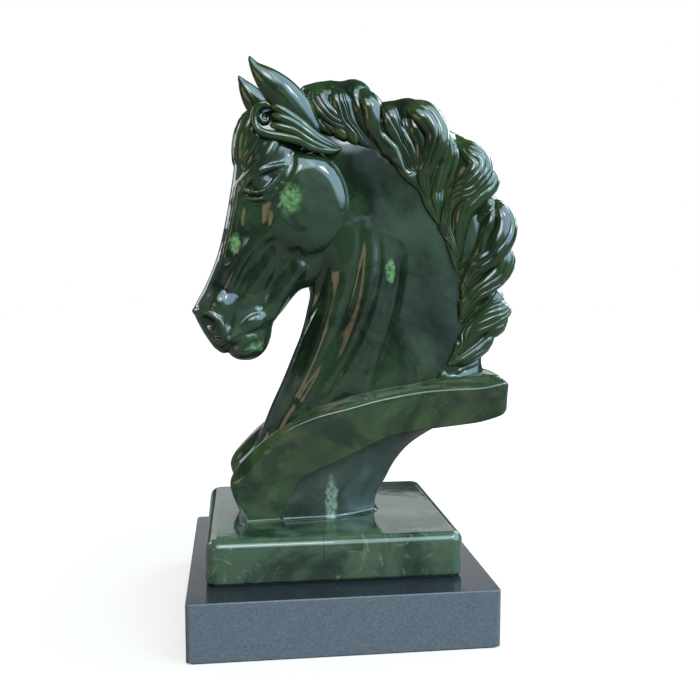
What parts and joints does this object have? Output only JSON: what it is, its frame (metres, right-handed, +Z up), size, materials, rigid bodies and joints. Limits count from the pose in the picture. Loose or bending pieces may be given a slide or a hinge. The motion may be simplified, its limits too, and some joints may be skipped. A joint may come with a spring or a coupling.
{
  "type": "jade horse head bust on plinth",
  "caption": "Polished dark green jade horse head with a flowing mane on a swooping collar, stem and rounded foot slab, set on a dark grey granite plinth.",
  "frame": {"origin": "centre of the underside of the felt base, on the surface that the figurine stands on", "axes": "+Z up, +X from the horse's nose towards its mane, +Y away from the side the head is turned to"},
  "size_m": [0.1896, 0.1554, 0.3087],
  "materials": {
    "jade": "mirror polished nephrite",
    "granite": "polished top, honed sides, fine speckle",
    "bedding": "matt black",
    "stainless_steel": "turned and rolled",
    "epoxy": "cast resin",
    "felt": "black wool felt"
  },
  "bodies": {
    "root": {"jade_carving": "jade", "granite_plinth": "granite", "bedding_pad": "bedding", "threaded_stud": "stainless_steel", "stud_epoxy": "epoxy", "fixing_washer": "stainless_steel", "fixing_nut": "stainless_steel", "locating_dowels": "stainless_steel", "felt_base": "felt"}
  },
  "joints": []
}
